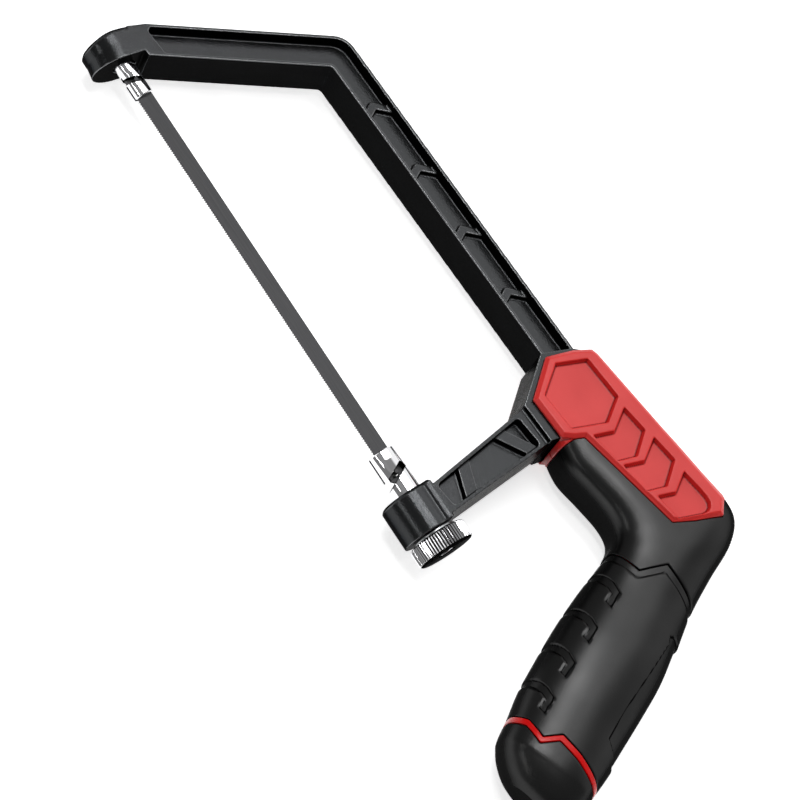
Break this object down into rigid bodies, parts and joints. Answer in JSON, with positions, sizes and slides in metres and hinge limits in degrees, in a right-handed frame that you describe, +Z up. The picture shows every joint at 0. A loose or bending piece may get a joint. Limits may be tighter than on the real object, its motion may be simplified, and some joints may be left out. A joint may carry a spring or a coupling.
{
  "type": "hacksaw",
  "caption": "Junior hacksaw: die-cast black bow with a short pinned blade between notched holders, knurled tension knob behind the rear boss, and an offset red and black pistol grip.",
  "frame": {"origin": "middle of the bounding box on the plane the saw lies on", "axes": "+X along the blade from its front pin to the handle, +Y from the blade to the spine, +Z up, square to the side of the saw as it lies on its far side"},
  "size_m": [0.2792, 0.108, 0.0296],
  "materials": {
    "cast_black": "semi-gloss black powder coat on a die casting",
    "chromed_steel": "bright chrome plate",
    "blade_steel": "grey oxidised tool steel, ground",
    "zinc_plated_steel": "zinc plate",
    "red_plastic": "moulded plastic, satin gloss",
    "black_soft_grip": "smooth satin soft-grip moulding"
  },
  "bodies": {
    "bow": {"frame": "cast_black", "front_washer": "zinc_plated_steel", "handle_core_near": "red_plastic", "handle_core_far": "red_plastic", "palm_sleeve": "black_soft_grip", "grip_sleeve": "black_soft_grip", "trim_ring": "red_plastic", "butt_cap": "black_soft_grip", "handle_screw_1": "zinc_plated_steel", "handle_screw_2": "zinc_plated_steel", "handle_screw_3": "zinc_plated_steel", "handle_screw_4": "zinc_plated_steel"},
    "blade_carrier": {"front_holder": "chromed_steel", "front_retaining_clip": "zinc_plated_steel", "blade": "blade_steel", "blade_pin_front": "blade_steel", "blade_pin_rear": "blade_steel", "thrust_washer": "zinc_plated_steel"},
    "rear_stud": {"rear_holder": "chromed_steel"},
    "knob": {"tension_knob": "chromed_steel"}
  },
  "joints": [
    {"name": "blade_swivel", "type": "hinge", "parent": "bow", "child": "blade_carrier", "pos_m": [-0.12359, -0.02893, 0.0148], "axis": [1, 0, 0], "continuous": true},
    {"name": "stud_draw", "type": "slide", "parent": "blade_carrier", "child": "rear_stud", "axis": [1, 0, 0], "range_m": [-0.0008, 0]},
    {"name": "knob_spin", "type": "hinge", "parent": "bow", "child": "knob", "pos_m": [0.04521, -0.02893, 0.0148], "axis": [1, 0, 0], "range_deg": [0, 360]}
  ],
  "couplings": [
    {"joint": "stud_draw", "follows": "knob_spin", "m_per_rad": -0.000127}
  ]
}
